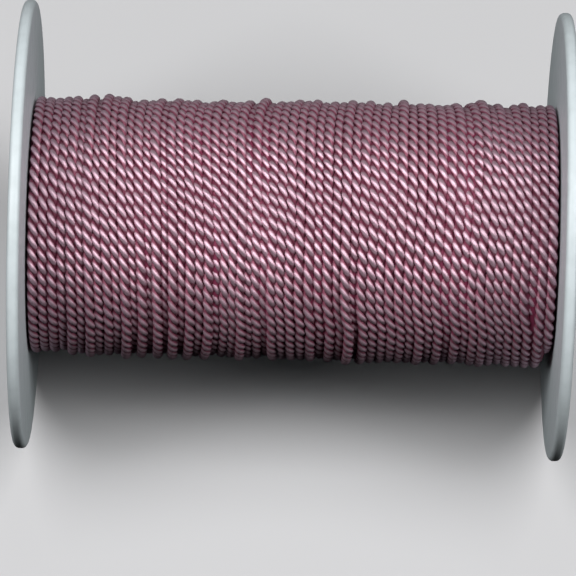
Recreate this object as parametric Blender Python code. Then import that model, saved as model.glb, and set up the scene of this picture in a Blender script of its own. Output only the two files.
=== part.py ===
"""A twisted cord wound on a flanged spool that lies on its side.

Metres, +Z up. The spool's axis runs along X, and it rests on the small flats of its two
flanges, with z = 0 on the surface below it. Angles round the axis are measured from the top
of the spool, and grow towards its front, which faces -Y.
"""

import math
import random
from collections import namedtuple

import bmesh
import bpy
from mathutils import Vector

MM = 0.001

# Driving dimensions of the spool
FLANGE_RADIUS = 37.5 * MM
FLANGE_THICKNESS = 2.0 * MM
FLANGE_GAP = 87.1 * MM  # between the inner faces of the two flanges
RIM_ROUNDING = 0.5 * MM
BARREL_RADIUS = 15.0 * MM
BARREL_WALL = 1.5 * MM
BORE_BEVEL = 0.4 * MM
SEAT_GAP = 0.3 * MM  # between pieces that touch on the real spool
RIM_STEPS = 72
BARREL_STEPS = 48
ROUNDING_STEPS = 3

# The flat that each rim rests on spans three steps of the rim
FLAT_HALF_ANGLE = math.radians(1.5 * 360 / RIM_STEPS)
AXIS_HEIGHT = FLANGE_RADIUS * math.cos(FLAT_HALF_ANGLE)

# Driving dimensions of the winding
TURNS = 60
CREST_RADIUS_LEFT = 21.4 * MM  # to the top of the turns, at the left flange
CREST_RADIUS_RIGHT = 22.0 * MM
GROOVE_DEPTH = 0.50 * MM
WINDING_STEPS = 36
WINDING_WIDTH = FLANGE_GAP - 2 * SEAT_GAP
TURN_PITCH = WINDING_WIDTH / TURNS

# How unevenly the cord was laid
SHARED_LEAN = 0.30 * MM  # neighbouring turns lean together
OWN_WANDER = 0.10 * MM  # each turn wanders a little by itself
OWN_RISE = 0.16 * MM  # each turn lies a little higher or lower
WANDER_SEED = 7
END_TURNS = 3  # turns over which the wander fades out beside a flange

Bump = namedtuple("Bump", "turn width lift angle spread")

# Turns that ride up on their neighbours, sink between them or part from them.
# Turn and width are counted in turns, lift is in millimetres, and angle and spread in degrees.
BUMPS = (
    Bump(turn=1.0, width=0.8, lift=0.45, angle=-60, spread=100),
    Bump(turn=8.5, width=0.9, lift=0.60, angle=-55, spread=55),
    Bump(turn=21.0, width=0.8, lift=0.35, angle=-60, spread=45),
    Bump(turn=28.0, width=1.4, lift=-0.45, angle=-50, spread=40),
    Bump(turn=36.0, width=0.9, lift=0.40, angle=70, spread=40),
    Bump(turn=42.0, width=0.8, lift=0.45, angle=-60, spread=50),
    Bump(turn=51.5, width=0.7, lift=0.95, angle=-60, spread=55),
    Bump(turn=54.6, width=1.4, lift=-1.10, angle=-55, spread=50),
    Bump(turn=59.6, width=0.8, lift=-0.70, angle=-60, spread=60),
    Bump(turn=57.8, width=0.7, lift=-2.00, angle=110, spread=45),
)


def material(name, colour, roughness):
    """A material with one colour and one roughness."""
    made = bpy.data.materials.new(name)
    made.use_nodes = True
    shader = made.node_tree.nodes["Principled BSDF"]
    shader.inputs["Base Color"].default_value = (*colour, 1.0)
    shader.inputs["Roughness"].default_value = roughness
    shader.inputs["Metallic"].default_value = 0.0
    return made


def around(axial, radius, angle):
    """The point at this distance along the axis, this far from it and at this angle."""
    return Vector((axial, -radius * math.sin(angle), radius * math.cos(angle)))


def even_angles(steps):
    """Angles round the axis, with the middle of one step at the bottom."""
    step = 2 * math.pi / steps
    return [(i + 0.5) * step + math.pi for i in range(steps)]


def ring_body(name, section_at, angles, finish):
    """A closed body: the section, a closed loop of (axial, radius), carried round the axis."""
    mesh_data = bmesh.new()
    loops = []
    for angle in angles:
        points = [around(axial, radius, angle) for axial, radius in section_at(angle)]
        loops.append([mesh_data.verts.new(point) for point in points])
    for here, after in zip(loops, loops[1:] + loops[:1]):
        for i, corner in enumerate(here):
            j = (i + 1) % len(here)
            mesh_data.faces.new((corner, here[j], after[j], after[i]))
    bmesh.ops.recalc_face_normals(mesh_data, faces=mesh_data.faces)
    mesh = bpy.data.meshes.new(name)
    mesh_data.to_mesh(mesh)
    mesh_data.free()
    mesh.shade_smooth()
    mesh.set_sharp_from_angle(angle=math.radians(35))
    mesh.materials.append(finish)
    body = bpy.data.objects.new(name, mesh)
    body.location.z = AXIS_HEIGHT
    bpy.context.collection.objects.link(body)
    return body


def hole_radius(clear_radius, steps):
    """The radius of a hole's corners, so that the middle of each side keeps clear_radius."""
    return clear_radius / math.cos(math.pi / steps)


def flange_section(inner_face, way):
    """A flange's section: a plain disc with a seat for the barrel and a rounded rim."""
    seat = hole_radius(BARREL_RADIUS + SEAT_GAP, RIM_STEPS)
    outer_face = inner_face + way * FLANGE_THICKNESS
    section = [(outer_face, seat), (inner_face, seat)]
    turn = math.pi / 2 / ROUNDING_STEPS
    centre_radius = FLANGE_RADIUS - RIM_ROUNDING
    for i in range(ROUNDING_STEPS + 1):
        rise = RIM_ROUNDING * math.sin(i * turn)
        run = RIM_ROUNDING * (1 - math.cos(i * turn))
        section.append((inner_face + way * run, centre_radius + rise))
    for i in reversed(range(ROUNDING_STEPS + 1)):
        rise = RIM_ROUNDING * math.sin(i * turn)
        run = RIM_ROUNDING * (1 - math.cos(i * turn))
        section.append((outer_face - way * run, centre_radius + rise))
    return section


def make_flange(name, inner_face, way, finish):
    """One flange, cut off level at the bottom, where it rests."""
    section = flange_section(inner_face, way)
    flange = ring_body(name, lambda angle: section, even_angles(RIM_STEPS), finish)
    for corner in flange.data.vertices:
        corner.co.z = max(corner.co.z, -AXIS_HEIGHT)
    return flange


def make_barrel(finish):
    """The tube that the cord is wound on, whose ends are seated in the two flanges."""
    half = FLANGE_GAP / 2 + FLANGE_THICKNESS
    bore = BARREL_RADIUS - BARREL_WALL
    section = [
        (-half, BARREL_RADIUS),
        (-half, bore + BORE_BEVEL),
        (-half + BORE_BEVEL, bore),
        (half - BORE_BEVEL, bore),
        (half, bore + BORE_BEVEL),
        (half, BARREL_RADIUS),
    ]
    return ring_body("barrel", lambda angle: section, even_angles(BARREL_STEPS), finish)


def bump_height(turn, angle):
    """How far the bumps lift the winding at this turn and angle."""
    height = 0.0
    for bump in BUMPS:
        away = math.remainder(angle - math.radians(bump.angle), 2 * math.pi)
        along = math.exp(-((turn - bump.turn) / bump.width) ** 2)
        height += bump.lift * MM * along * math.exp(-((away / math.radians(bump.spread)) ** 2))
    return height


class Turn:
    """One turn of the cord, with its own slow wander along the axis and rise from it."""

    def __init__(self, number, chance):
        self.number = number
        self.fade = min(1.0, number / END_TURNS, (TURNS - 1 - number) / END_TURNS)
        self.phases = [chance.uniform(0, 2 * math.pi) for _ in range(4)]

    def place(self, angle):
        """The middle of the turn along the axis."""
        even = -WINDING_WIDTH / 2 + (self.number + 0.5) * TURN_PITCH
        shared = math.sin(angle + 0.11 * self.number) + 0.5 * math.sin(2 * angle + 0.23 * self.number)
        own = math.sin(angle + self.phases[0]) + 0.6 * math.sin(3 * angle + self.phases[1])
        return even + self.fade * (SHARED_LEAN * shared + OWN_WANDER * own)

    def crest(self, angle):
        """The radius to the top of the turn."""
        share = self.number / (TURNS - 1)
        even = CREST_RADIUS_LEFT + share * (CREST_RADIUS_RIGHT - CREST_RADIUS_LEFT)
        own = math.sin(angle + self.phases[2]) + 0.7 * math.sin(2 * angle + self.phases[3])
        return even + OWN_RISE * own + bump_height(self.number, angle)


def make_winding(finish):
    """The wound cord as one solid, with a ridge for each turn."""
    chance = random.Random(WANDER_SEED)
    turns = [Turn(number, chance) for number in range(TURNS)]
    bore = hole_radius(BARREL_RADIUS + SEAT_GAP, WINDING_STEPS)
    end = WINDING_WIDTH / 2

    def section_at(angle):
        places = [turn.place(angle) for turn in turns]
        crests = [turn.crest(angle) for turn in turns]
        section = [(-end, bore), (-end, crests[0] - GROOVE_DEPTH)]
        for i in range(TURNS):
            section.append((places[i], crests[i]))
            if i + 1 < TURNS:
                groove = min(crests[i], crests[i + 1]) - GROOVE_DEPTH
                section.append(((places[i] + places[i + 1]) / 2, groove))
        section += [(end, crests[-1] - GROOVE_DEPTH), (end, bore)]
        return section

    return ring_body("winding", section_at, even_angles(WINDING_STEPS), finish)


def main():
    for old in list(bpy.data.objects):
        bpy.data.objects.remove(old, do_unlink=True)

    plastic = material("spool_plastic", colour=(0.66, 0.74, 0.76), roughness=0.35)
    silk = material("cord_silk", colour=(0.38, 0.20, 0.27), roughness=0.45)

    make_flange("flange_left", -FLANGE_GAP / 2, -1, plastic)
    make_flange("flange_right", FLANGE_GAP / 2, 1, plastic)
    make_barrel(plastic)
    make_winding(silk)


main()
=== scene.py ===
# %% [markdown]
# # A silky twisted cord wound on a flanged spool
#
# The real thing is a slim two-ply cord, wound by a machine in about sixty turns side by side
# and several layers deep, on a plain white plastic spool that lies on its side.
# The solids of the spool come ready-made and stay where they are. This lesson dresses them:
# it winds the outer layer of cord ply by ply, gives the plastic and the silk their finish,
# and sets up the camera and the light.

# %% Load the spool's solids
import math
from collections import namedtuple

import bmesh
import bpy
import numpy as np
from mathutils import Matrix, Vector


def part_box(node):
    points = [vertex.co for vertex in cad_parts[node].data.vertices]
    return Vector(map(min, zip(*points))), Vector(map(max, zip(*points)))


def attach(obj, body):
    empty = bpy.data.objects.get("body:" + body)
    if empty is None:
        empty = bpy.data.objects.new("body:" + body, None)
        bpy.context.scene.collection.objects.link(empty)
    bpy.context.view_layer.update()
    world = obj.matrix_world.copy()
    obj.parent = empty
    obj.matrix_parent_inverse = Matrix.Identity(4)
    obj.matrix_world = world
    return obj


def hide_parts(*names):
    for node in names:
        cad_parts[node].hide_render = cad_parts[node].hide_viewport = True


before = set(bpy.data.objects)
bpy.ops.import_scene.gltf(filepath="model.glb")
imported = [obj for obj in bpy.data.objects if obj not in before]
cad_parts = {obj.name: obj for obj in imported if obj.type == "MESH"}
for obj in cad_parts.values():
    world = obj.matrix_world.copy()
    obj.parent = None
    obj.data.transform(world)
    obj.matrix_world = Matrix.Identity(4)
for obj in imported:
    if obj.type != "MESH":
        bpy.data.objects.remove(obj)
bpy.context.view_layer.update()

# %% [markdown]
# ## Where things are
#
# Every place below is read from the solids, so that the dressed pieces fit them exactly.
# The spool's axis runs along X. A point on the spool is given by its place along the axis,
# its distance from the axis and its angle round it, measured from the top towards the front.

# %% Read the spool's sizes from its solids
MM = 0.001

barrel_low, barrel_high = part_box("barrel")
winding_low, winding_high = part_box("winding")
left_low, left_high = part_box("flange_left")
right_low, right_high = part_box("flange_right")

axis_height = (barrel_low.z + barrel_high.z) / 2
barrel_radius = (barrel_high.z - barrel_low.z) / 2
flange_radius = (left_high.y - left_low.y) / 2
flange_thickness = left_high.x - left_low.x
flange_gap = right_low.x - left_high.x
winding_width = winding_high.x - winding_low.x


def around(axial, radius, angle):
    """Points from their places along the axis, distances from it and angles, as rows."""
    axial, radius, angle = np.broadcast_arrays(axial, radius, angle)
    return np.stack([axial, -radius * np.sin(angle), axis_height + radius * np.cos(angle)], axis=-1)


print(f"flanges {2000 * flange_radius:.1f} mm across, {1000 * flange_gap:.1f} mm apart")

# %% [markdown]
# ## The camera
#
# The photo was taken with a long lens, square to the spool's axis, so both flanges show
# their inner faces by the same small amount. Fitting a pinhole to the two flanges gives the
# lens and the distance. The spool lies a little askew in the picture, which is a small roll
# of the camera, and it sits above the middle, so the camera aims a little below its axis.

# %% Place the camera
PICTURE = 576  # pixels each way
FOCAL_PIXELS = 4585.0
DISTANCE = 20.45 * 37.5 * MM
VIEW_HEIGHT_ANGLE = math.radians(60)  # how far above the table the camera stands
ROLL = math.radians(1.40)
SPOOL_X, SPOOL_Y = 292.8, 230.6  # where the middle of the spool's axis lies in the picture

spool_middle = Vector((0, 0, axis_height))
towards = Vector((0, math.cos(VIEW_HEIGHT_ANGLE), -math.sin(VIEW_HEIGHT_ANGLE)))
level_right = Vector((1, 0, 0))
level_up = level_right.cross(towards)
right = level_right * math.cos(ROLL) + level_up * math.sin(ROLL)
up = level_up * math.cos(ROLL) - level_right * math.sin(ROLL)
pixel = DISTANCE / FOCAL_PIXELS
aim = spool_middle - right * (SPOOL_X - PICTURE / 2) * pixel - up * (PICTURE / 2 - SPOOL_Y) * pixel

camera_place = spool_middle - towards * DISTANCE
look = (aim - camera_place).normalized()
side = look.cross(up).normalized()
camera_data = bpy.data.cameras.new("camera")
camera_data.sensor_width = 36.0
camera_data.lens = FOCAL_PIXELS / PICTURE * camera_data.sensor_width
camera_data.clip_start = 0.05
camera = bpy.data.objects.new("camera", camera_data)
axes = Matrix((side, side.cross(look), -look)).transposed()
camera.matrix_world = Matrix.Translation(camera_place) @ axes.to_4x4()
bpy.context.collection.objects.link(camera)
bpy.context.scene.camera = camera
print(f"camera {DISTANCE:.3f} m away with a {camera_data.lens:.0f} mm lens")

# %% [markdown]
# ## Table and light
#
# Two tall soft lights stand left and right of the camera and a little higher, as on a copy
# stand. Together they give the silk its bright middle, reach the inner faces of both flanges
# and let the underside fall into shade. A dim surround fills the rest: it is darkest on the
# camera's side, so that the lower turns stay deep in tone. The table casts no light back.

# %% Lay the table and hang the lights
LIGHT_ABOVE_CAMERA = math.radians(16)
LIGHT_SIDEWAYS = math.radians(32)
LIGHT_DISTANCE = 1.0
LIGHT_WIDTH = 0.45
LIGHT_HEIGHT = 0.90
LIGHT_POWER = 7.4
SURROUND_TILT = math.radians(15)
SURROUND_COLOUR = (0.9, 0.95, 1.0)
TABLE_COLOUR = (0.62, 0.62, 0.63)


def stage_material(name, colour, roughness):
    """A plain even material for what stands round the spool."""
    made = bpy.data.materials.new(name)
    made.use_nodes = True
    shader = made.node_tree.nodes["Principled BSDF"]
    shader.inputs["Base Color"].default_value = (*colour, 1)
    shader.inputs["Roughness"].default_value = roughness
    return made


def place_light(name, sideways):
    """A tall soft light that faces the spool from beside the camera."""
    data = bpy.data.lights.new(name, "AREA")
    data.shape = "RECTANGLE"
    data.size = LIGHT_WIDTH
    data.size_y = LIGHT_HEIGHT
    data.energy = LIGHT_POWER
    lamp = bpy.data.objects.new(name, data)
    level = math.cos(LIGHT_ABOVE_CAMERA)
    back = level_right * math.sin(sideways) * level - towards * math.cos(sideways) * level
    back += level_up * math.sin(LIGHT_ABOVE_CAMERA)
    lamp.location = spool_middle + back * LIGHT_DISTANCE
    lamp.rotation_mode = "QUATERNION"
    lamp.rotation_quaternion = back.to_track_quat("Z", "Y")
    bpy.context.collection.objects.link(lamp)
    return lamp


def surround(front, back):
    """A dim surround that grows from its front strength to its back strength behind the spool."""
    world = bpy.data.worlds.new("surround")
    world.use_nodes = True
    nodes = world.node_tree.nodes
    links = world.node_tree.links
    way = nodes.new("ShaderNodeTexCoord")
    tilt = nodes.new("ShaderNodeVectorMath")
    tilt.operation = "DOT_PRODUCT"
    tilt.inputs[1].default_value = (0.0, math.cos(SURROUND_TILT), math.sin(SURROUND_TILT))
    links.new(way.outputs["Generated"], tilt.inputs[0])
    strength = nodes.new("ShaderNodeMapRange")
    strength.interpolation_type = "SMOOTHSTEP"
    strength.inputs["From Min"].default_value = -0.2
    strength.inputs["From Max"].default_value = 0.8
    strength.inputs["To Min"].default_value = front
    strength.inputs["To Max"].default_value = back
    links.new(tilt.outputs["Value"], strength.inputs["Value"])
    links.new(strength.outputs["Result"], nodes["Background"].inputs["Strength"])
    nodes["Background"].inputs["Color"].default_value = (*SURROUND_COLOUR, 1)
    return world


bpy.ops.mesh.primitive_plane_add(size=8.0)
table = bpy.context.object
table.name = "table"
table.data.materials.append(stage_material("table_pale", TABLE_COLOUR, roughness=0.7))
table.visible_diffuse = False
table.visible_glossy = False

place_light("light_left", -LIGHT_SIDEWAYS)
place_light("light_right", LIGHT_SIDEWAYS)
bpy.context.scene.world = surround(front=0.002, back=0.02)
bpy.context.scene.view_settings.view_transform = "Standard"

# %% [markdown]
# ## Helpers for building meshes
#
# Cord, flanges and barrel are all rows of points joined by a skin of quads. One helper makes
# the faces of such a grid, and another turns points and faces into an object.

# %% Make the mesh helpers
def grid_faces(rows, columns, rows_close=False):
    """Quads between neighbouring rows, whose last point joins their first."""
    row = np.arange(rows if rows_close else rows - 1)[:, None]
    column = np.arange(columns)[None, :]
    after = (column + 1) % columns
    next_row = (row + 1) % rows
    corners = [
        row * columns + column,
        next_row * columns + column,
        next_row * columns + after,
        row * columns + after,
    ]
    return np.stack(np.broadcast_arrays(*corners), axis=-1).reshape(-1, 4)


def new_object(name, points, faces, finish):
    """An object made of these points and faces, which rides on the spool."""
    mesh = bpy.data.meshes.new(name)
    mesh.from_pydata(points.reshape(-1, 3).tolist(), [], faces)
    mesh.materials.append(finish)
    mesh.shade_smooth()
    made = bpy.data.objects.new(name, mesh)
    bpy.context.collection.objects.link(made)
    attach(made, "root")
    return made


# %% [markdown]
# ## How the turns lie
#
# The outer layer is one long helix. A machine lays each turn against the one before, but
# never evenly: some turns ride up, some sink between their neighbours and let these close
# in. So each point of a turn is placed from the point just one turn back: two round cords
# that touch lie one cord's width apart, and less along the axis if one is higher.

# %% Work out the route of the outer layer
TURNS = 60
CORD_WIDTH = 1.80 * MM
CORD_CONTACT = 1.54 * MM  # between the middles of two turns that press into each other
STEPS = 336  # along each turn
CREST_LEFT = 21.45 * MM
CREST_RIGHT = 22.05 * MM
ALTERNATE_RISE = 0.20 * MM  # every second turn rides up on its neighbours
RISE = 0.36 * MM
FINE_RISE = 0.10 * MM
WANDER = 0.9 * MM
FLANGE_FADE = 9.0 * MM
ROUTE_START = math.radians(215)
STEP_OVER = 0.30  # the share of each turn in which it steps over to its next place

Stretch = namedtuple("Stretch", "turn angle lift reach")

# Stretches of turns that stand out, with lift in millimetres and angles in degrees.
STRETCHES = (
    Stretch(turn=8, angle=-55, lift=0.55, reach=45),
    Stretch(turn=9, angle=-50, lift=0.45, reach=35),
    Stretch(turn=21, angle=-60, lift=0.40, reach=40),
    Stretch(turn=36, angle=70, lift=0.35, reach=40),
    Stretch(turn=42, angle=-60, lift=0.45, reach=45),
    Stretch(turn=51, angle=-60, lift=0.85, reach=40),
    Stretch(turn=52, angle=-60, lift=-0.45, reach=40),
    Stretch(turn=54, angle=-60, lift=-0.60, reach=45),
    Stretch(turn=57, angle=105, lift=-1.60, reach=40),
)


def ease(share):
    """A smooth step from 0 to 1."""
    share = np.clip(share, 0, 1)
    return share * share * (3 - 2 * share)


def slow_noise(where, seed):
    """Smooth random values from -1 to 1 that change once in each unit of where."""
    where = np.asarray(where) - np.min(where)
    knots = np.random.default_rng(seed).uniform(-1, 1, int(where.max()) + 3)
    whole = np.floor(where).astype(int)
    share = ease(where - whole)
    return knots[whole] * (1 - share) + knots[whole + 1] * share


turn_count = np.arange(TURNS * STEPS) / STEPS
angle = 2 * np.pi * turn_count + ROUTE_START
end_fade = ease(np.minimum(turn_count, TURNS - turn_count) / 1.2 - 0.8)


def switch(where):
    """1 and -1 in turn, with a quick smooth change at each whole number."""
    return np.clip(6 * np.sin(np.pi * np.asarray(where)), -1, 1)


uneven = slow_noise(turn_count * 2.6, seed=11)
alternate = switch(turn_count) * (1 + slow_noise(turn_count * 1.3, seed=13)) - 0.3
rise = (RISE * uneven + ALTERNATE_RISE * alternate) * end_fade
rise = rise + FINE_RISE * slow_noise(turn_count * 9, seed=12) * end_fade
for stretch in STRETCHES:
    middle = stretch.turn + (math.radians(stretch.angle) - ROUTE_START) / (2 * math.pi) % 1
    away = (turn_count - middle) * 360 / stretch.reach
    rise = rise + stretch.lift * MM * np.exp(-(away**2))


def settle(rise):
    """Places along the axis, each one cord's width from the same angle one turn back.

    All the stepping over to the next place happens in the last share of each turn, which
    lies on the side of the spool that doesn't show in the photo.
    """
    level = rise.reshape(TURNS, STEPS)
    climb = np.diff(level, axis=0)
    gap = np.sqrt(np.maximum(CORD_CONTACT**2 - climb**2, (0.55 * CORD_CONTACT) ** 2))
    spread = np.vstack([np.zeros(STEPS), np.cumsum(gap, axis=0)])
    squeeze = (winding_width - CORD_WIDTH) / spread[-1]
    print(f"turns pressed together to {squeeze.mean():.3f} of their free spacing")
    step_over = ease((np.arange(STEPS) / STEPS - 1) / STEP_OVER + 1) * CORD_CONTACT
    return ((spread + step_over) * squeeze).ravel() - (winding_width - CORD_WIDTH) / 2


# Groups of turns sway together, and less beside the flanges, which hold them straight.
axial = settle(rise)
inward = ease((winding_width / 2 - np.abs(axial)) / FLANGE_FADE)
sway = sum(
    slow_noise((axial + winding_width) / (14 * MM), seed=20 + waves) * np.sin(waves * angle + waves) / waves
    for waves in (1, 2, 3)
)
axial = axial + WANDER * inward * sway
crest = CREST_LEFT + (CREST_RIGHT - CREST_LEFT) * (axial / winding_width + 0.5)
cord_radius = crest - CORD_WIDTH / 2 + rise

# The cord comes up beside one flange and goes down beside the other.
route_end = int((TURNS - STEP_OVER) * STEPS)
tuck = ease(1 - turn_count / 0.08) + ease(1 - (route_end / STEPS - turn_count) / 0.08)
cord_radius = cord_radius - CORD_WIDTH * tuck

# %% [markdown]
# ## The silk
#
# The yarn is a bundle of fine, bright filaments. Light slides along them, so the silk is lit
# more like a brushed metal than like cloth: a stretched shine that falls off fast where the
# cord turns away. That is the shader's metallic share and its anisotropy, whose direction comes
# from the map "lie". The crests of the plies are pale and lustrous, and their pale base colour
# is partly a painted sheen. Towards the hollows the base colour deepens to a wine red, which is
# painted shade, so the map "hollow" tells how far below the crests each point lies. The map
# "fibre" runs along the filaments, for streaks of colour and a fine bump that break the shine
# into glints.

# %% Make the silk's materials
# The base colours paint light and shade: a deep wine red as painted shade in the hollows and on the layers
# below, and a pale pink on the crests that is partly painted sheen.
SILK_PAINTED_SHADE = (0.22, 0.028, 0.072)
SILK_PALE_PAINTED_SHEEN = (0.78, 0.54, 0.64)
SILK_INSIDE_PAINTED_SHADE = (0.22, 0.030, 0.080)
PAINTED_SHADE_START_DEPTH = 0.60  # millimetres below the crests to where the colour starts to deepen
PAINTED_SHADE_FULL_DEPTH = 1.20
CREST_PAINTED_SHEEN_SHARE = 0.65  # how pale the crests are before the streaks are added
STREAK_SHARE = 0.7
HOLLOW_METALLIC = 0.2
CREST_METALLIC = 0.70
STREAKS_PER_MM = (14.0, 0.55, 1.0)  # across the filaments, along them, and unused
INSIDE_STREAKS = (5000.0, 900.0, 900.0)  # per metre, along X, Y and Z


def add_noise(nodes, links, coordinates, scale, detail, roughness=0.5):
    """Noise with its own scale along each direction."""
    stretch = nodes.new("ShaderNodeMapping")
    stretch.inputs["Scale"].default_value = scale
    links.new(coordinates, stretch.inputs["Vector"])
    noise = nodes.new("ShaderNodeTexNoise")
    noise.inputs["Scale"].default_value = 1.0
    noise.inputs["Detail"].default_value = detail
    noise.inputs["Roughness"].default_value = roughness
    links.new(stretch.outputs["Vector"], noise.inputs["Vector"])
    return noise.outputs["Fac"]


def add_bump(nodes, links, height, strength, distance):
    """Let this height shape the surface's fine relief."""
    bump = nodes.new("ShaderNodeBump")
    bump.inputs["Strength"].default_value = strength
    bump.inputs["Distance"].default_value = distance
    links.new(height, bump.inputs["Height"])
    links.new(bump.outputs["Normal"], nodes["Principled BSDF"].inputs["Normal"])


def add_tone(nodes, links, share, start, stop):
    """The base colour, from one colour to another; start and stop are (position, colour)."""
    tone = nodes.new("ShaderNodeValToRGB")
    for element, (position, colour) in zip(tone.color_ramp.elements, (start, stop)):
        element.position = position
        element.color = (*colour, 1)
    links.new(share, tone.inputs["Fac"])
    links.new(tone.outputs["Color"], nodes["Principled BSDF"].inputs["Base Color"])


def new_silk(name):
    """A material with the silk's even values, and its nodes and links."""
    made = bpy.data.materials.new(name)
    made.use_nodes = True
    shader = made.node_tree.nodes["Principled BSDF"]
    shader.inputs["Roughness"].default_value = 0.52
    shader.inputs["IOR"].default_value = 1.55
    shader.inputs["Sheen Weight"].default_value = 0.10
    shader.inputs["Sheen Roughness"].default_value = 0.35
    shader.inputs["Sheen Tint"].default_value = (1.0, 0.82, 0.88, 1)
    return made, made.node_tree.nodes, made.node_tree.links


def add_streaks(nodes, links, coordinates, scale):
    """Noise stretched into streaks, which also gives the surface its fine bump."""
    streaks = add_noise(nodes, links, coordinates, scale, detail=3.0, roughness=0.6)
    add_bump(nodes, links, streaks, strength=0.45, distance=0.06 * MM)
    return streaks


def add_map(nodes, name):
    """The coordinates of one of the maps made for the plies."""
    place = nodes.new("ShaderNodeUVMap")
    place.uv_map = name
    return place.outputs["UV"]


def add_painted_light_share(nodes, links):
    """How pale a point is: high on the crests as painted sheen, low in the hollows as painted shade, and
    streaked.
    """
    parts = nodes.new("ShaderNodeSeparateXYZ")
    links.new(add_map(nodes, "hollow"), parts.inputs["Vector"])
    painted_light_by_depth = nodes.new("ShaderNodeMapRange")
    painted_light_by_depth.interpolation_type = "SMOOTHSTEP"
    painted_light_by_depth.inputs["From Min"].default_value = PAINTED_SHADE_START_DEPTH
    painted_light_by_depth.inputs["From Max"].default_value = PAINTED_SHADE_FULL_DEPTH
    painted_light_by_depth.inputs["To Min"].default_value = CREST_PAINTED_SHEEN_SHARE
    painted_light_by_depth.inputs["To Max"].default_value = 0.0
    links.new(parts.outputs["X"], painted_light_by_depth.inputs["Value"])
    streaks = add_streaks(nodes, links, add_map(nodes, "fibre"), STREAKS_PER_MM)
    streaked = nodes.new("ShaderNodeMath")
    streaked.operation = "MULTIPLY_ADD"
    streaked.inputs[1].default_value = STREAK_SHARE
    links.new(streaks, streaked.inputs[0])
    links.new(painted_light_by_depth.outputs["Result"], streaked.inputs[2])
    return streaked.outputs["Value"]


def outer_silk():
    """Silk for the plies that show, with paler crests as painted sheen, hollows deepened by painted shade,
    and a shine across the filaments.
    """
    made, nodes, links = new_silk("silk_filament")
    shader = nodes["Principled BSDF"]
    shader.inputs["Anisotropic"].default_value = 0.70
    lie = nodes.new("ShaderNodeTangent")
    lie.direction_type = "UV_MAP"
    lie.uv_map = "lie"
    links.new(lie.outputs["Tangent"], shader.inputs["Tangent"])

    painted_light_and_lustre_share = add_painted_light_share(nodes, links)
    add_tone(nodes, links, painted_light_and_lustre_share, (0.3, SILK_PAINTED_SHADE), (1.0, SILK_PALE_PAINTED_SHEEN))
    lustre = nodes.new("ShaderNodeMapRange")
    lustre.inputs["To Min"].default_value = HOLLOW_METALLIC
    lustre.inputs["To Max"].default_value = CREST_METALLIC
    links.new(painted_light_and_lustre_share, lustre.inputs["Value"])
    links.new(lustre.outputs["Result"], shader.inputs["Metallic"])
    return made


def inner_silk_painted_shade():
    """Silk for the layers below, coloured all over in the painted shade of the hollows, as they show only
    between the turns.
    """
    made, nodes, links = new_silk("silk_inside_painted_shade")
    nodes["Principled BSDF"].inputs["Metallic"].default_value = HOLLOW_METALLIC
    place = nodes.new("ShaderNodeTexCoord")
    streaks = add_streaks(nodes, links, place.outputs["Object"], INSIDE_STREAKS)
    add_tone(nodes, links, streaks, (0.3, SILK_PAINTED_SHADE), (1.0, SILK_INSIDE_PAINTED_SHADE))
    return made


silk = outer_silk()
silk_inside_painted_shade = inner_silk_painted_shade()
print("silk:", silk.name, "and", silk_inside_painted_shade.name)

# %% [markdown]
# ## Plies
#
# Two plies wind round each other inside the cord, in the S direction. Pressed together, each
# fills one half of the round cord, so its section is a D with rounded corners: its crest
# follows the cord's own roundness, and it parts from its neighbour in a groove that runs
# round the cord like the middle stroke of an S.

# %% Wind the outer layer ply by ply
PLIES = 2
REPEATS_PER_TURN = 61.05  # how often a ply comes to the top in one turn
GROOVE = 0.50  # how much less the cord's radius is in the groove
CREST_ROUNDING = 1.6  # 1 gives the ply a sharp crest, and more a rounder one
OUTER_POINTS = 8
PLY_SIDES = OUTER_POINTS + 1
PLY_REACH = 180 / PLIES - 4  # degrees from a ply's crest to its last outer point
FILAMENT_SLANT = math.radians(-5)
# The depth below the crests sets the painted shade in the silk's colour.
ASIDE_SHARE = 0.8  # how much a millimetre beside a ply's crest counts as depth
CORE_SHARE = 0.05  # of the cord's width, from its middle to each ply's inner edge
LAY_UNEVENNESS = 1.5  # radians by which the twist runs ahead or lags
MIDDLE_RADIUS = 21.0  # millimetres from the spool's axis to the middle of the cord
TUBES_APART = 37.0  # so that no two plies share their streaks
BANDS = 5  # the layer is cut into bands of turns, to keep each piece small

lay_noise = slow_noise(turn_count * 6, seed=31)
twist = 2 * np.pi * REPEATS_PER_TURN / PLIES * turn_count + LAY_UNEVENNESS * lay_noise

ply_angles = np.radians(np.linspace(-PLY_REACH, PLY_REACH, OUTER_POINTS))
ply_radii = CORD_WIDTH / 2 * (1 - GROOVE * np.abs(ply_angles / (np.pi / PLIES)) ** CREST_ROUNDING)

# One point near the cord's middle closes the section.
section_angles = np.append(ply_angles, 0)
section_radii = np.append(ply_radii, CORE_SHARE * CORD_WIDTH)


def ply_points(which, places):
    """Rings of points round one ply, one ring for each place along the route."""
    turned = (twist[places] + 2 * np.pi * which / PLIES)[:, None] + section_angles[None, :]
    lift = section_radii * np.cos(turned)
    shift = section_radii * np.sin(turned)
    return around(axial[places, None] + shift, cord_radius[places, None] + lift, angle[places, None])


def ply_depths(which, places):
    """How far each point of a ply lies below the top of its cord, in millimetres."""
    turned = (twist[places] + 2 * np.pi * which / PLIES)[:, None] + section_angles[None, :]
    return (CORD_WIDTH / 2 - section_radii * np.cos(turned)) / MM


def add_map_layer(mesh, name, values):
    """Store one map, with a pair of values for each corner of each face."""
    layer = mesh.uv_layers.new(name=name)
    layer.data.foreach_set("uv", values.astype(np.float32).ravel())


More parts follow.
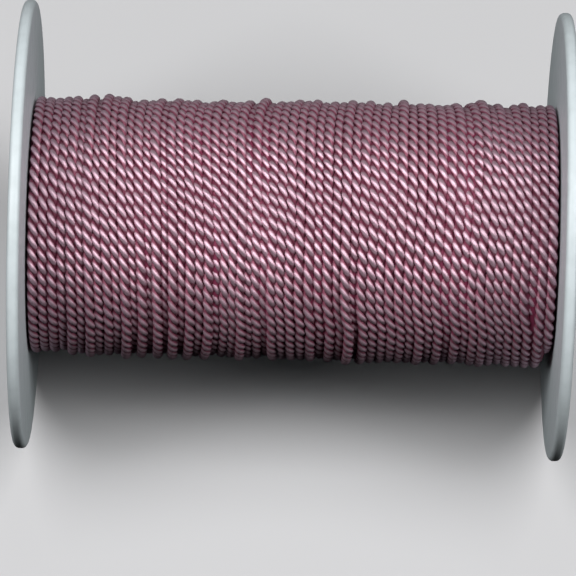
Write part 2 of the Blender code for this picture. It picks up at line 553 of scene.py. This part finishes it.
def add_fibre_maps(mesh, ring_count, depths):
    """Maps in millimetres: where a filament lies, the way it runs, and how deep it lies, which sets the
    painted shade.
    """
    side = math.pi * CORD_WIDTH / PLIES / MM / OUTER_POINTS
    along_step = 2 * math.pi * MIDDLE_RADIUS / STEPS
    tubes = len(depths)
    column = np.arange(PLY_SIDES)[None, :]
    row = np.arange(ring_count - 1)[:, None]
    corner_column = np.stack(np.broadcast_arrays(column, column, column + 1, column + 1, row)[:4], -1)
    corner_row = np.stack(np.broadcast_arrays(row, row + 1, row + 1, row, column)[:4], -1)
    u = (corner_column - (OUTER_POINTS - 1) / 2) * side
    v = corner_row * along_step
    across = u * math.cos(FILAMENT_SLANT) - v * math.sin(FILAMENT_SLANT)
    along = u * math.sin(FILAMENT_SLANT) + v * math.cos(FILAMENT_SLANT)
    caps = np.zeros((2 * PLY_SIDES, 2))  # the corners of the two end faces
    for name, one, two, apart in (
        ("fibre", across, along, TUBES_APART),
        ("lie", u, v + u * math.tan(FILAMENT_SLANT), 0.0),
    ):
        per_tube = np.stack([one, two], axis=-1).reshape(-1, 2)
        values = [np.vstack([per_tube + tube * apart, caps]) for tube in range(tubes)]
        add_map_layer(mesh, name, np.vstack(values))

    aside = np.abs(u) * ASIDE_SHARE + np.zeros(corner_row.shape)
    deep = [depth[corner_row, corner_column % PLY_SIDES] + aside for depth in depths]
    deep = [np.append(each.ravel(), np.full(2 * PLY_SIDES, CORD_WIDTH / MM)) for each in deep]
    deep = np.concatenate(deep)
    add_map_layer(mesh, "hollow", np.stack([deep, 0 * deep], axis=-1))


def wind_band(number):
    """The plies of one band of turns, with a closed end where the band is cut."""
    first = number * TURNS // BANDS * STEPS
    last = min((number + 1) * TURNS // BANDS * STEPS + 1, route_end)
    places = np.arange(first, last)
    points = []
    faces = []
    for which in range(PLIES):
        start = which * len(places) * PLY_SIDES
        points.append(ply_points(which, places).reshape(-1, 3))
        faces += (grid_faces(len(places), PLY_SIDES) + start).tolist()
        ends = start + np.arange(PLY_SIDES)
        faces.append(ends.tolist())
        faces.append((ends[::-1] + (len(places) - 1) * PLY_SIDES).tolist())
    band = new_object(f"cord_turns_{number + 1}", np.vstack(points), faces, silk)
    add_fibre_maps(band.data, len(places), [ply_depths(which, places) for which in range(PLIES)])
    return band


bands = [wind_band(number) for number in range(BANDS)]
for band in bands:
    print(band.name, len(band.data.polygons), "faces")

# %% [markdown]
# ## The layer below
#
# Where turns part, the layer below shows. It needs no plies of its own, only turns that lie
# in the hollows of the outer layer, on a plain sleeve that stands for the rest. Both take the
# deep wine red of the painted shade.

# %% Lay the turns below and the sleeve under them
UNDER_STEPS = 60
UNDER_SIDES = 8
UNDER_DROP = 0.85 * MM
UNDER_SHARE = 0.49  # a turn's radius as a share of the cord's width
SLEEVE_DROP = 1.3 * MM
SLEEVE_CLEARANCE = 0.35 * MM
SLEEVE_STEPS = 96


def lay_turns_below():
    """One even helix of round cord under the outer layer."""
    count = np.arange((TURNS - 1) * UNDER_STEPS + 1) / UNDER_STEPS
    place = (count + 0.5) * (winding_width - CORD_WIDTH) / TURNS - winding_width / 2 + CORD_WIDTH / 2
    radius = CREST_LEFT + (CREST_RIGHT - CREST_LEFT) * (place / winding_width + 0.5)
    radius = radius - CORD_WIDTH / 2 - UNDER_DROP
    section = (2 * np.pi * np.arange(UNDER_SIDES) / UNDER_SIDES)[None, :]
    half = CORD_WIDTH * UNDER_SHARE
    points = around(
        place[:, None] + half * np.sin(section),
        radius[:, None] + half * np.cos(section),
        (2 * np.pi * count + np.pi)[:, None],
    )
    faces = grid_faces(len(count), UNDER_SIDES).tolist()
    ends = np.arange(UNDER_SIDES)
    faces.append(ends.tolist())
    faces.append((ends[::-1] + (len(count) - 1) * UNDER_SIDES).tolist())
    return new_object("cord_turns_below", points.reshape(-1, 3), faces, silk_inside_painted_shade)


def face_outwards(body):
    """Turn all faces of a closed body outwards."""
    mesh_data = bmesh.new()
    mesh_data.from_mesh(body.data)
    bmesh.ops.recalc_face_normals(mesh_data, faces=mesh_data.faces)
    mesh_data.to_mesh(body.data)
    mesh_data.free()
    return body


def lathe(name, section, steps, finish):
    """A body made by carrying a closed section of (axial, radius) round the axis."""
    section = np.array(section)
    turned = (2 * np.pi * (np.arange(steps) + 0.5) / steps + np.pi)[:, None]
    points = around(section[None, :, 0], section[None, :, 1], turned)
    faces = grid_faces(steps, len(section), rows_close=True)
    return face_outwards(new_object(name, points.reshape(-1, 3), faces.tolist(), finish))


below = lay_turns_below()
sleeve_half = winding_width / 2
sleeve_radius = CREST_LEFT - CORD_WIDTH / 2 - SLEEVE_DROP
sleeve_bore = barrel_radius + SLEEVE_CLEARANCE
sleeve = lathe(
    "cord_layers_inside",
    [(-sleeve_half, sleeve_bore), (-sleeve_half, sleeve_radius), (sleeve_half, sleeve_radius),
     (sleeve_half, sleeve_bore)],
    SLEEVE_STEPS, silk_inside_painted_shade,
)
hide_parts("winding")
print(below.name, len(below.data.polygons), "faces;", sleeve.name, len(sleeve.data.polygons), "faces")

# %% [markdown]
# ## The plastic
#
# The spool is moulded in white polystyrene with a faintly cool tone. Such a disc is smooth,
# with a satin shine, faint rings from the turned mould, and fine scuffs from handling. The
# scuffs are duller than the rest, so they change the roughness more than the colour.

# %% Make the plastic's material
PLASTIC = (0.70, 0.775, 0.80)
PLASTIC_WORN = (0.62, 0.69, 0.71)
SCUFFS_PER_METRE = (420.0, 380.0, 300.0)
RINGS_PER_METRE = 2500.0


def add_rings(nodes, links, coordinates):
    """Faint rings round the spool's axis, as left by a turned mould."""
    centred = nodes.new("ShaderNodeVectorMath")
    centred.operation = "SUBTRACT"
    centred.inputs[1].default_value = (0.0, 0.0, axis_height)
    links.new(coordinates, centred.inputs[0])
    flat = nodes.new("ShaderNodeVectorMath")
    flat.operation = "MULTIPLY"
    flat.inputs[1].default_value = (0.0, 1.0, 1.0)
    links.new(centred.outputs["Vector"], flat.inputs[0])
    radius = nodes.new("ShaderNodeVectorMath")
    radius.operation = "LENGTH"
    links.new(flat.outputs["Vector"], radius.inputs[0])
    rings = nodes.new("ShaderNodeTexNoise")
    rings.noise_dimensions = "1D"
    rings.inputs["Scale"].default_value = RINGS_PER_METRE
    rings.inputs["Detail"].default_value = 2.0
    links.new(radius.outputs["Value"], rings.inputs["W"])
    return rings.outputs["Fac"]


def plastic_material():
    """Satin white plastic with rings and scuffs."""
    made = bpy.data.materials.new("moulded_white_plastic")
    made.use_nodes = True
    nodes = made.node_tree.nodes
    links = made.node_tree.links
    shader = nodes["Principled BSDF"]
    shader.inputs["Specular IOR Level"].default_value = 0.5
    place = nodes.new("ShaderNodeTexCoord").outputs["Object"]

    scuffs = add_noise(nodes, links, place, SCUFFS_PER_METRE, detail=6.0)
    add_tone(nodes, links, scuffs, (0.42, PLASTIC), (0.80, PLASTIC_WORN))
    dull = nodes.new("ShaderNodeMapRange")
    dull.inputs["To Min"].default_value = 0.30
    dull.inputs["To Max"].default_value = 0.48
    links.new(scuffs, dull.inputs["Value"])
    links.new(dull.outputs["Result"], shader.inputs["Roughness"])

    both = nodes.new("ShaderNodeMath")
    both.operation = "ADD"
    links.new(add_rings(nodes, links, place), both.inputs[0])
    links.new(scuffs, both.inputs[1])
    add_bump(nodes, links, both.outputs["Value"], strength=0.15, distance=0.03 * MM)
    return made


plastic = plastic_material()
print("plastic:", plastic.name)

# %% [markdown]
# ## The spool
#
# Two moulded discs close the ends, and a tube joins them. The discs in the photo are thin and
# flat, with rims that are rounded all round. Here each is turned from its section in fine
# steps. The outer side doesn't show in the photo, so it is plain, with a shallow sunk ring
# and a seat for the tube. The bottom stays level where the rim rests, and the right rim has
# a small nick.

# %% Turn the flanges and the tube
FLANGE_STEPS = 240
ROUNDING_STEPS = 7
RIM_ROUNDING = 0.8 * MM
TUBE_WALL = 1.5 * MM
TUBE_EDGE = 0.4 * MM
TUBE_STEPS = 144
SEAT_FIT = 0.05 * MM
SEAT_DEPTH = 0.35 * MM
RING_DEPTH = 0.25 * MM
RING_SLOPE = 0.3 * MM
RING_OUTSIDE = 4.0 * MM  # from the rim to the sunk ring
RING_INSIDE = 2.5 * MM  # from the tube to the sunk ring
SEAT_RIM = 0.8 * MM  # from the tube to the seat's edge
SHARP_ANGLE = math.radians(32)
NICK_ANGLE = math.radians(-59)
NICK_DEPTH = 0.45 * MM
NICK_REACH = 0.9 * MM


def flange_section(inner_face, way):
    """A disc's section: flat inner face, rounded rim and a stepped outer face."""
    seat = barrel_radius + SEAT_FIT
    outer_face = inner_face + way * flange_thickness
    seat_face = outer_face - way * SEAT_DEPTH
    ring_face = outer_face - way * RING_DEPTH
    section = [(inner_face, seat)]
    for step in range(2 * ROUNDING_STEPS + 1):
        turned = math.pi / 2 * step / ROUNDING_STEPS
        run = RIM_ROUNDING * (1 - math.cos(turned))
        if step > ROUNDING_STEPS:
            run = flange_thickness - RIM_ROUNDING * (1 + math.cos(turned))
        rise = RIM_ROUNDING * (math.sin(turned) - 1)
        section.append((inner_face + way * run, flange_radius + rise))
    section += [
        (outer_face, flange_radius - RING_OUTSIDE),
        (ring_face, flange_radius - RING_OUTSIDE - RING_SLOPE),
        (ring_face, barrel_radius + RING_INSIDE + RING_SLOPE),
        (outer_face, barrel_radius + RING_INSIDE),
        (outer_face, barrel_radius + SEAT_RIM),
        (seat_face, barrel_radius + SEAT_RIM - RING_SLOPE),
        (seat_face, seat),
    ]
    return section


def add_nick(flange):
    """A small dent in the rim, where the disc was knocked."""
    middle = around(flange.bound_box[0][0], flange_radius, NICK_ANGLE)
    for corner in flange.data.vertices:
        away = math.hypot(corner.co.y - middle[1], corner.co.z - middle[2])
        dent = NICK_DEPTH * math.exp(-((away / NICK_REACH) ** 2))
        inward = Vector((0, -corner.co.y, axis_height - corner.co.z)).normalized()
        corner.co += inward * dent


def turn_flange(name, inner_face, way):
    """One disc with fine steps, level at the bottom."""
    flange = lathe(name, flange_section(inner_face, way), FLANGE_STEPS, plastic)
    for corner in flange.data.vertices:
        corner.co.z = max(corner.co.z, left_low.z)
    return flange


def turn_tube():
    """The tube, with bevelled edges at its ends."""
    half = barrel_high.x
    bore = barrel_radius - TUBE_WALL
    section = [
        (-half, barrel_radius - TUBE_EDGE),
        (-half, bore + TUBE_EDGE),
        (-half + TUBE_EDGE, bore),
        (half - TUBE_EDGE, bore),
        (half, bore + TUBE_EDGE),
        (half, barrel_radius - TUBE_EDGE),
        (half - TUBE_EDGE, barrel_radius),
        (-half + TUBE_EDGE, barrel_radius),
    ]
    return lathe("spool_tube", section, TUBE_STEPS, plastic)


flange_one = turn_flange("spool_disc_left", left_high.x, -1)
flange_two = turn_flange("spool_disc_right", right_low.x, 1)
add_nick(flange_two)
tube = turn_tube()
for piece in (flange_one, flange_two, tube):
    piece.data.set_sharp_from_angle(angle=SHARP_ANGLE)
    print(piece.name, len(piece.data.polygons), "faces")
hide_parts("flange_left")
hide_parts("flange_right")
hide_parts("barrel")
